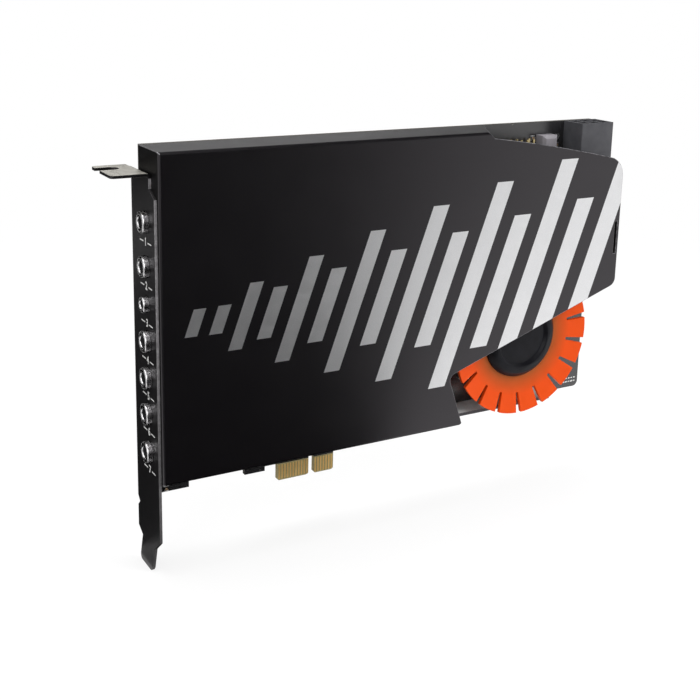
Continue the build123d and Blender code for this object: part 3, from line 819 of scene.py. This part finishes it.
def make_numbers():
    bm = bmesh.new()
    facing_out = Matrix(((0, 0, -1), (-1, 0, 0), (0, 1, 0))).to_4x4()  # to the right is -Y, up is +Z
    for number in JACKS:
        jack = middle_mm(f"jack_barrel_{number}")
        z = jack.z - NUMBER_DROP
        digit = digit_mesh(number)
        digit.transform(Matrix.Translation(Vector((BRACKET_OUT, jack.y, z)) * MM) @ facing_out)
        bm.from_mesh(digit)
        for side in (-1, 1):
            across = sorted((jack.y + side * RULE_START, jack.y + side * RULE_END))
            brick(bm, around(BRACKET_OUT, PRINT_FILM), across, around(z, RULE_WIDTH / 2))
    bmesh.ops.remove_doubles(bm, verts=bm.verts, dist=NUMBER_WELD * MM)
    bmesh.ops.dissolve_degenerate(bm, edges=bm.edges, dist=THIN_FACE * MM)
    for face in bm.faces:
        face.material_index = 0
    bmesh.ops.recalc_face_normals(bm, faces=bm.faces)
    new_piece("jack_numbers", to_mesh(bm, "jack_numbers"), ("white_print",), "bracket_paint")


# Jack barrels with rounded lips and turned threads

BARREL_SIDES = 64
BARREL = (3.15, 1.8)  # radius and bore
SMALL_BARREL = (2.3, 1.3)
SMALL_COLLAR = 4.0  # a collar below this radius belongs to a small jack
LIP_STEPS = 12
LIP_DEPTH = 0.40
THREAD_START = 0.12  # behind the lip
THREAD_END = 0.25  # in front of the bracket
THREAD_PITCH = 0.40
THREAD_DEPTH = 0.22
CREST = 0.07  # a crest's width
ROOT = (0.24, 0.29)  # where a root begins and ends, behind its crest's front


def barrel_profile(radius, bore, collar, reach, inner, total):
    """(radius, depth) points from the bore's end round the lip and along the thread to the collar."""
    profile = [(bore, total)]
    for step in range(LIP_STEPS + 1):
        angle = math.pi * step / LIP_STEPS
        across = (bore + radius) / 2 - (radius - bore) / 2 * math.cos(angle)
        profile.append((across, LIP_DEPTH * (1 - math.sin(angle))))
    depth = LIP_DEPTH + THREAD_START
    while depth < reach - THREAD_END:
        profile += [(radius, depth), (radius, depth + CREST)]
        profile += [(radius - THREAD_DEPTH, depth + end) for end in ROOT]
        depth += THREAD_PITCH
    return profile + [(radius, depth), (radius, inner), (collar, inner), (collar, total)]


def make_barrel(number):
    node = f"jack_barrel_{number}"
    low, high = box_mm(node)
    middle = middle_mm(node)
    collar = (high.z - low.z) / 2
    radius, bore = SMALL_BARREL if collar < SMALL_COLLAR else BARREL
    profile = barrel_profile(radius, bore, collar, BRACKET_OUT - low.x, BRACKET_IN - low.x, high.x - low.x)
    place = Matrix.Translation(Vector((low.x, middle.y, middle.z)) * MM)
    bm = bmesh.new()
    lathe(bm, profile, place @ Matrix.Rotation(math.radians(90), 4, "Y"), BARREL_SIDES, 1)
    name = f"barrel_{number}"
    new_piece(name, to_mesh(bm, name, 40), ("plated_barrel", "black_moulding"), "plated_barrel", node)


# Solder joints on the back of the board

# A jack's legs, each as the distance from its body's end and the height over its axis
JACK_LEGS = ((2.6, 0.0), (5.4, 3.0), (5.4, -3.0), (10.2, 3.0), (10.2, -3.0))
JACK_JOINT = (0.95, 0.75)  # radius and rise of a joint
SOCKET_COLUMNS = (-4.2, 0.0, 4.2)
SOCKET_DROPS = (1.8, 7.3)  # below the socket
SOCKET_JOINT = (1.25, 0.9)
HEADER_PITCH = 2.54
HEADER_PIN = 0.32  # half a pin's width
HEADER_COLUMNS = 5
HEADER_ROWS = 2
HEADER_KEY = (3, 1)  # column and row without a pin
HEADER_JOINT = (0.8, 0.6)


def make_solder():
    bm = bmesh.new()
    for number in JACKS:
        body = f"jack_body_{number}"
        left = box_mm(body)[0].x
        axis = middle_mm(body).z
        for dx, dz in JACK_LEGS:
            bead(bm, left + dx, axis + dz, *JACK_JOINT)
    lower = box_mm("power_header")[0].z
    middle = middle_mm("power_header").x
    for column in SOCKET_COLUMNS:
        for drop in SOCKET_DROPS:
            bead(bm, middle + column, lower - drop, *SOCKET_JOINT)
    pins = box_mm("front_audio_pins")[0]
    for column in range(HEADER_COLUMNS):
        for row in range(HEADER_ROWS):
            if (column, row) != HEADER_KEY:
                x = pins.x + HEADER_PIN + HEADER_PITCH * column
                bead(bm, x, pins.z + HEADER_PIN + HEADER_PITCH * row, *HEADER_JOINT)
    bmesh.ops.recalc_face_normals(bm, faces=bm.faces)
    new_piece("solder_joints", to_mesh(bm, "solder_joints", 60), ("solder",), "pin_metal")


# Small surface parts, pads and printed marks on both sides of the board

CHIP_MATERIALS = ("ceramic", "solder", "chip_moulding", "white_print")
CERAMIC, SOLDER, EPOXY, WHITE = range(len(CHIP_MATERIALS))
CHIP_SIZES = ((1.6, 0.8, 0.55), (1.0, 0.5, 0.4), (2.0, 1.25, 0.7))  # length, width and height
CAP_SHARE = 0.22  # a cap's share of the length
BODY_INSET = 0.05  # the body lies this far inside its caps
LINE_GAP = 0.35  # printed lines beside a part
LINE_HALF = 0.07
ROW_GAP = 0.9  # between like parts in a row
FRAME_HALF = 0.11  # half the width of a printed frame
SOCKET_PARTS = 3  # parts beside the power socket
SOCKET_TOP = 1.0  # the first one, below the inductor's top
SOCKET_STEP = 2.9
CHOKE_PARTS = 2  # parts beside the inductor
CHOKE_GAP = 1.4
CHOKE_TOP = 1.2
CHOKE_STEP = 2.6
FOOT_PARTS = (1.8, 6.2)  # parts low on the board, from its end at the bracket
FOOT_HEIGHT = 5.5
FRONT_SIDE = (FACE, -1)  # plane and outward direction along Y
BACK_SIDE = (BACK, 1)
BACK_START = (-30.0, 26.0)  # lower left spot of the back's parts, in x and z
BACK_PITCH = (10.6, 12.5)
BACK_COLUMNS = 12
BACK_ROWS = 6
BACK_STRAY = (2.4, 2.6)  # how far a group strays from its spot
BACK_BARE = 0.34  # share of spots without parts
BACK_GAP = 3.0  # room between groups, and what each part adds to its group's
PART_ROOM = 2.0
SCREW_ROOM = 3.0  # room that is kept round screws and joints
PIN_ROOM = 4.0
SUPPLY_ROOM = 5.0
SUPPLY_DROP = 9.0  # the supply's joints lie this far below its pins' middles
PAD_TRIES = 60
PAD_X = (-33.0, 100.0)
PAD_Z = (22.0, 104.0)
PAD = (0.55, 0.06)  # radius and rise
PAD_GAP = 2.6
PAD_ROOM = 3.0
DASH_ROWS = 2  # printed dashes in the lower corner
DASH_COLUMNS = 5
DASH_CORNER = (6.6, 14.7)  # first dash, from the board's far end and up
DASH_PITCH = (1.25, 1.3)
DASH_HALF = 0.22
DASH_SHORT = 0.28  # half the shortest dash, and what chance adds to it
DASH_MORE = 0.30
SUPPLY_FRAME = (0.4, 9.3, 0.2)  # inset at the sides, reach below and above the socket's foot
HEADER_FRAME = (1.0, 11.8, 4.2)  # reach before, along and above the first pin


def bar(bm, x, z, half_long, half_wide, ys, upright, index):
    """A box on the board that lies along x, or along z if upright."""
    half_x, half_z = (half_wide, half_long) if upright else (half_long, half_wide)
    brick(bm, around(x, half_x), ys, around(z, half_z), index)


def chip(bm, x, z, side, upright, size, body):
    """A ceramic or epoxy body between two solder caps, with a printed line along each side."""
    plane, out = side
    long, wide, tall = size
    cap = long * CAP_SHARE

    def layer(height):
        return sorted((plane, plane + out * height))

    bar(bm, x, z, long / 2 - cap + BODY_INSET, wide / 2 - BODY_INSET, layer(tall - BODY_INSET), upright, body)
    for way in (-1, 1):
        shift = way * (long - cap) / 2
        dx, dz = (0, shift) if upright else (shift, 0)
        bar(bm, x + dx, z + dz, cap / 2, wide / 2, layer(tall), upright, SOLDER)
        shift = way * (wide / 2 + LINE_GAP)
        dx, dz = (shift, 0) if upright else (0, shift)
        bar(bm, x + dx, z + dz, long / 2, LINE_HALF, layer(PRINT_FILM), upright, WHITE)


def chip_row(bm, seed, x, z, side, count):
    """Like parts side by side."""
    upright = seed.random() < 0.5
    size = seed.choice(CHIP_SIZES)
    body = seed.choice((CERAMIC, CERAMIC, EPOXY))
    for index in range(count):
        step = (size[1] + ROW_GAP) * index
        dx, dz = (step, 0) if upright else (0, step)
        chip(bm, x + dx, z + dz, side, upright, size, body)


def printed_frame(bm, left, right, low, high):
    """A printed frame on the back of the board."""
    film = (BACK, BACK + PRINT_FILM)
    for x in (left, right):
        brick(bm, around(x, FRAME_HALF), film, (low - FRAME_HALF, high + FRAME_HALF), WHITE)
    gap = FRAME_HALF * 1.5
    for z in (low, high):
        brick(bm, (left + gap, right - gap), film, around(z, FRAME_HALF), WHITE)


def add_front_parts(bm, seed):
    """Parts beside the power socket and the inductor, two low parts, and dashes in the corner."""
    choke_low, choke_high = box_mm("power_inductors")
    beside_socket = (choke_high.x + box_mm("power_header")[0].x) / 2
    spots = [(beside_socket, choke_high.z - SOCKET_TOP - SOCKET_STEP * i) for i in range(SOCKET_PARTS)]
    beside_choke = choke_low.x - CHOKE_GAP
    spots += [(beside_choke, choke_high.z - CHOKE_TOP - CHOKE_STEP * i) for i in range(CHOKE_PARTS)]
    for x, z in spots:
        chip_row(bm, seed, x, z, FRONT_SIDE, 1)
    for from_end in FOOT_PARTS:
        chip(bm, board_low.x + from_end, FOOT_HEIGHT, FRONT_SIDE, False, CHIP_SIZES[0], CERAMIC)
    for row in range(DASH_ROWS):
        for column in range(DASH_COLUMNS):
            half_long = DASH_SHORT + DASH_MORE * seed.random()
            x = board_high.x - DASH_CORNER[0] + DASH_PITCH[0] * column
            z = DASH_CORNER[1] + DASH_PITCH[1] * row
            bar(bm, x, z, half_long, DASH_HALF, (FACE - PRINT_FILM, FACE), False, WHITE)


def add_back_parts(bm, seed):
    """Groups of parts and single pads, clear of each other, the screws and the solder joints."""
    taken = [(x, z, SCREW_ROOM) for x, z in middles("shroud_screws")]
    taken += [(x, z, PIN_ROOM) for x, z in middles("front_audio_pins")]
    taken += [(x, z - SUPPLY_DROP, SUPPLY_ROOM) for x, z in middles("power_pins")]

    def is_free(x, z, gap):
        return all(math.hypot(x - a, z - b) > room + gap for a, b, room in taken)

    for column in range(BACK_COLUMNS):
        for row in range(BACK_ROWS):
            if seed.random() < BACK_BARE:
                continue
            x = BACK_START[0] + BACK_PITCH[0] * column + seed.uniform(-BACK_STRAY[0], BACK_STRAY[0])
            z = BACK_START[1] + BACK_PITCH[1] * row + seed.uniform(-BACK_STRAY[1], BACK_STRAY[1])
            count = seed.choice((1, 1, 2, 3))
            room = PART_ROOM * count
            if is_free(x, z, BACK_GAP + room):
                chip_row(bm, seed, x, z, BACK_SIDE, count)
                taken.append((x, z, room))
    for _ in range(PAD_TRIES):
        x = seed.uniform(*PAD_X)
        z = seed.uniform(*PAD_Z)
        if is_free(x, z, PAD_GAP):
            bead(bm, x, z, *PAD, SOLDER)
            taken.append((x, z, PAD_ROOM))


def add_frames(bm):
    """Frames round the joints of the power socket and of the pin header."""
    low, high = box_mm("power_header")
    inset, below, above = SUPPLY_FRAME
    printed_frame(bm, low.x + inset, high.x - inset, low.z - below, low.z + above)
    pins = box_mm("front_audio_pins")[0]
    before, along, above = HEADER_FRAME
    printed_frame(bm, pins.x - before, pins.x + along, pins.z - before, pins.z + above)


def make_chips():
    bm = bmesh.new()
    seed = random.Random(4)
    add_front_parts(bm, seed)
    add_back_parts(bm, seed)
    add_frames(bm)
    bmesh.ops.recalc_face_normals(bm, faces=bm.faces)
    new_piece("surface_parts", to_mesh(bm, "surface_parts"), CHIP_MATERIALS, "chip_moulding")


# Screws with a cross recess

RECESS_LENGTH = 2.7
RECESS_WIDTH = 0.52
RECESS_DEPTH = 0.95
RECESS_OVER = 0.5  # how far the cutter stands out of the head
TURN_START = 0.35  # each screw's turn in radians, which its x changes
TURN_STEP = 0.7


def recess_mesh(heads, outward):
    """Crossed blocks that cut the recesses; each head is given by x, its top and z."""
    tool = bmesh.new()
    for x, top, z in heads:
        depth = sorted((top - outward * RECESS_DEPTH, top + outward * RECESS_OVER))
        place = Matrix.Translation(Vector((x, (depth[0] + depth[1]) / 2, z)) * MM)
        size = Matrix.Diagonal((RECESS_LENGTH * MM, (depth[1] - depth[0]) * MM, RECESS_WIDTH * MM, 1.0))
        turn = TURN_START + TURN_STEP * x
        for extra in (0, math.pi / 2):
            block = bmesh.ops.create_cube(tool, size=1.0)["verts"]
            spin = Matrix.Rotation(turn + extra, 4, "Y")
            bmesh.ops.transform(tool, matrix=place @ spin @ size, verts=block)
    mesh = bpy.data.meshes.new("recess")
    tool.to_mesh(mesh)
    tool.free()
    return mesh


def make_screws(node, name, outward):
    """The node's screws with cross recesses; outward is the way that their heads face along Y."""
    bm = welded(node)
    heads = []
    for solid in islands(bm):
        x, z = middle_of(solid)
        top = max(v.co.y / MM * outward for v in solid) * outward
        heads.append((x, top, z))
    screws = in_scene(name, to_mesh(bm, name))
    cutter = in_scene("recess", recess_mesh(heads, outward))
    cut = screws.modifiers.new("recess", "BOOLEAN")
    cut.object = cutter
    cut.solver = "EXACT"
    cut.use_self = True
    made = smooth(evaluated_mesh(screws), 32)
    for old in (screws, cutter):
        bpy.data.objects.remove(old)
    new_piece(name, made, ("screw_steel",), "screw_steel", node)


# Pieces that keep their solid's shape and gain small edge rounds

def soften(node, name, slot, width, segments=2, sharp=32, material=None):
    piece = new_piece(name, to_mesh(welded(node), name, sharp), (material or slot,), slot, node)
    bevel(piece, width, segments)


make_cover()
make_bracket()
make_numbers()
soften("circuit_board", "board", "board_mask", 0.06, 1)
soften("accent_ring", "ring", "orange_moulding", 0.14)
soften("ring_hub", "hub", "hub_moulding", 0.2, 3, 50)
soften("power_header", "power_socket", "black_moulding", 0.1, material="socket_moulding")
soften("power_inductors", "chokes", "inductor_ferrite", 0.15)
soften("edge_contacts_front", "contacts_front", "gold_contact", 0.03, 1)
soften("edge_contacts_back", "contacts_back", "gold_contact", 0.03, 1)
for number in JACKS:
    make_barrel(number)
make_solder()
make_chips()
make_screws("shroud_screws", "cover_screws", 1)
make_screws("bracket_screws", "foot_screws", -1)

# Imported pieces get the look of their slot, apart from one with a look of its own
OWN_LOOK = {"op_amps": "op_amp_moulding"}
slot_of = {part["node"]: part["material_slot"] for part in frame["record"]["subparts"]}
for node, piece in nodes.items():
    piece.data.materials.clear()
    piece.data.materials.append(MATERIALS[OWN_LOOK.get(node, slot_of[node])])


# Floor and backdrop

FLOOR_SIZE = 12000.0
GLOW_START = (160.0, 0.80)  # distance from the origin and the floor's share of plain white there
GLOW_END = (480.0, 1.0)
WORLD_LIGHT = 0.45  # strength that lights the card; what is seen has strength one


def any_ray(holder):
    """One where a camera, glossy or transmission ray looks, so that all of them see the white."""
    seen = add(holder, "ShaderNodeLightPath").outputs
    either = calc(holder, "MAXIMUM", seen["Is Camera Ray"], seen["Is Glossy Ray"])
    return calc(holder, "MAXIMUM", either, seen["Is Transmission Ray"])


def floor_white():
    """A pale floor that reads white and keeps the card's soft shadow near it."""
    mat = bpy.data.materials.new("floor_white")
    mat.use_nodes = True
    mat.node_tree.nodes.clear()
    out = add(mat, "ShaderNodeOutputMaterial")
    pale = add(mat, "ShaderNodeBsdfDiffuse")
    pale.inputs["Color"].default_value = (0.90, 0.90, 0.90, 1)
    glow = add(mat, "ShaderNodeEmission")
    away = add(mat, "ShaderNodeVectorMath", operation="LENGTH")
    link(mat, coords(mat), away.inputs[0])
    start, low = GLOW_START
    end, high = GLOW_END
    share = spread(mat, away.outputs["Value"], start, end, low, high)
    mixed = add(mat, "ShaderNodeMixShader")
    link(mat, calc(mat, "MULTIPLY", share, any_ray(mat)), mixed.inputs[0])
    link(mat, pale.outputs[0], mixed.inputs[1])
    link(mat, glow.outputs[0], mixed.inputs[2])
    link(mat, mixed.outputs[0], out.inputs[0])
    return mat


def make_floor():
    bpy.ops.mesh.primitive_plane_add(size=FLOOR_SIZE * MM, location=(0, 0, FLOOR * MM))
    floor = bpy.context.object
    floor.name = "floor"
    floor.data.materials.append(floor_white())


def make_world():
    world = bpy.data.worlds.new("studio")
    bpy.context.scene.world = world
    world.use_nodes = True
    ground = world.node_tree.nodes["Background"].inputs
    ground["Color"].default_value = (1, 1, 1, 1)
    link(world, spread(world, any_ray(world), 0, 1, WORLD_LIGHT, 1.0), ground["Strength"])


# Dark and grey cards seen only in reflections, that keep the satin black deep

DARK = 0.003
ON_FLOOR = FLOOR + 1.0
OVERHEAD = 780.0
WALL_FRONT = -900.0  # places of the upright cards along Y
WALL_BACK = 900.0
SIDE_EDGE = BRACKET_OUT - 1.2  # side cards reach left from here
SIDE_START = -15.0
SIDE_WIDTH = 12.0  # their width at the start
SIDE_SPREAD = math.tan(math.radians(48))


def make_flag(name, shade, points):
    """A card through some points in millimetres."""
    mesh = bpy.data.meshes.new(name)
    mesh.from_pydata([Vector(p) * MM for p in points], [], [list(range(len(points)))])
    mesh.materials.append(make_material(name, (shade, shade, shade), 1.0, Specular_IOR_Level=0.0))
    flag = in_scene(name, mesh)
    for ray in ("camera", "diffuse", "transmission", "shadow"):
        setattr(flag, f"visible_{ray}", False)


def level_card(name, shade, height, *corners):
    """A card that lies level, from its (x, y) corners."""
    make_flag(name, shade, [(x, y, height) for x, y in corners])


def side_card(name, shade, near, far):
    """A card on the floor at the bracket's open side, widening with distance."""
    left = [(SIDE_EDGE - SIDE_WIDTH - SIDE_SPREAD * (y - SIDE_START), y) for y in (far, near)]
    level_card(name, shade, ON_FLOOR, (SIDE_EDGE, near), (SIDE_EDGE, far), *left)


def wall_card(name, shade, left, right, y, low, high):
    """An upright card across the view."""
    make_flag(name, shade, [(left, y, low), (right, y, low), (right, y, high), (left, y, high)])


def make_cards():
    level_card("front_floor", DARK, ON_FLOOR, (-75, -22), (22, -22), (620, WALL_FRONT), (-380, WALL_FRONT))
    wall_card("front_wall", DARK, -380, 600, WALL_FRONT, ON_FLOOR, 500)
    wall_card("front_high", DARK, 300, 1500, WALL_FRONT, 420, 1100)
    level_card("left_floor", DARK, ON_FLOOR, (-800, -45), (-90, -45), (-230, -500), (-800, -500))
    level_card("under", DARK, ON_FLOOR, (-56, -22), (70, -22), (70, 45), (-56, 45))
    side_card("side_foot", 0.3, SIDE_START, 5)
    side_card("side_near", DARK, 5, 330)
    side_card("side_middle", 0.42, 330, 450)
    side_card("side_far", DARK, 450, WALL_BACK)
    wall_card("side_wall", DARK, -1100, -62, WALL_BACK, ON_FLOOR, 1100)
    wall_card("back_wall", 0.32, -62, 1800, WALL_BACK, 40, 500)
    level_card("overhead", DARK, OVERHEAD, (60, -600), (800, -600), (800, -20), (60, -20))
    level_card("overhead_back", DARK, OVERHEAD, (-60, -20), (1100, -20), (1100, 850), (-60, 850))
    wall_card("back_high", DARK, 600, 1900, WALL_BACK, 500, 1150)


# Lamps and camera

CAMERA_PLACE = (-163.4, -308.6, 160.1)
CAMERA_YAW = 29.78  # degrees to the right of straight ahead
CAMERA_PITCH = 13.43  # degrees down
CAMERA_ROLL = 1.27
CAMERA_SHIFT = -0.15
FOCAL_PIXELS = 1154.5
FRAME_PIXELS = 700
SENSOR = 36.0


def make_lamp(name, place, target, size, power, in_reflections=True):
    """A soft rectangular lamp, placed and sized in millimetres."""
    data = bpy.data.lights.new(name, "AREA")
    data.shape = "RECTANGLE"
    data.size = size[0] * MM
    data.size_y = size[1] * MM
    data.energy = power
    lamp = in_scene(name, data)
    lamp.location = Vector(place) * MM
    lamp.rotation_euler = (Vector(target) - Vector(place)).to_track_quat("-Z", "Y").to_euler()
    lamp.visible_glossy = in_reflections


def make_camera():
    data = bpy.data.cameras.new("camera")
    camera = in_scene("camera", data)
    yaw, pitch, roll = [math.radians(a) for a in (CAMERA_YAW, CAMERA_PITCH, CAMERA_ROLL)]
    ahead = Vector((math.sin(yaw), math.cos(yaw), 0))
    right = Vector((math.cos(yaw), -math.sin(yaw), 0))
    above = Vector((0, 0, 1))
    look = math.cos(pitch) * ahead - math.sin(pitch) * above
    up = math.sin(pitch) * ahead + math.cos(pitch) * above
    side = math.cos(roll) * right + math.sin(roll) * up
    up = -math.sin(roll) * right + math.cos(roll) * up
    turn = Matrix((side, up, -look)).transposed().to_4x4()
    camera.matrix_world = Matrix.Translation(Vector(CAMERA_PLACE) * MM) @ turn
    data.sensor_width = SENSOR
    data.lens = FOCAL_PIXELS / FRAME_PIXELS * SENSOR
    data.shift_y = CAMERA_SHIFT
    data.clip_start = 0.01
    data.clip_end = 50
    bpy.context.scene.camera = camera


make_floor()
make_world()
make_cards()
make_lamp("key", (620, -620, 500), (50, 0, 50), (500, 700), 7.0, in_reflections=False)
make_lamp("fill", (-750, -550, 450), (0, 0, 50), (600, 600), 2.5)
make_lamp("top", (-50, 100, 850), (20, 0, 50), (800, 500), 6.0)
make_camera()
bpy.context.scene.view_settings.view_transform = "Standard"
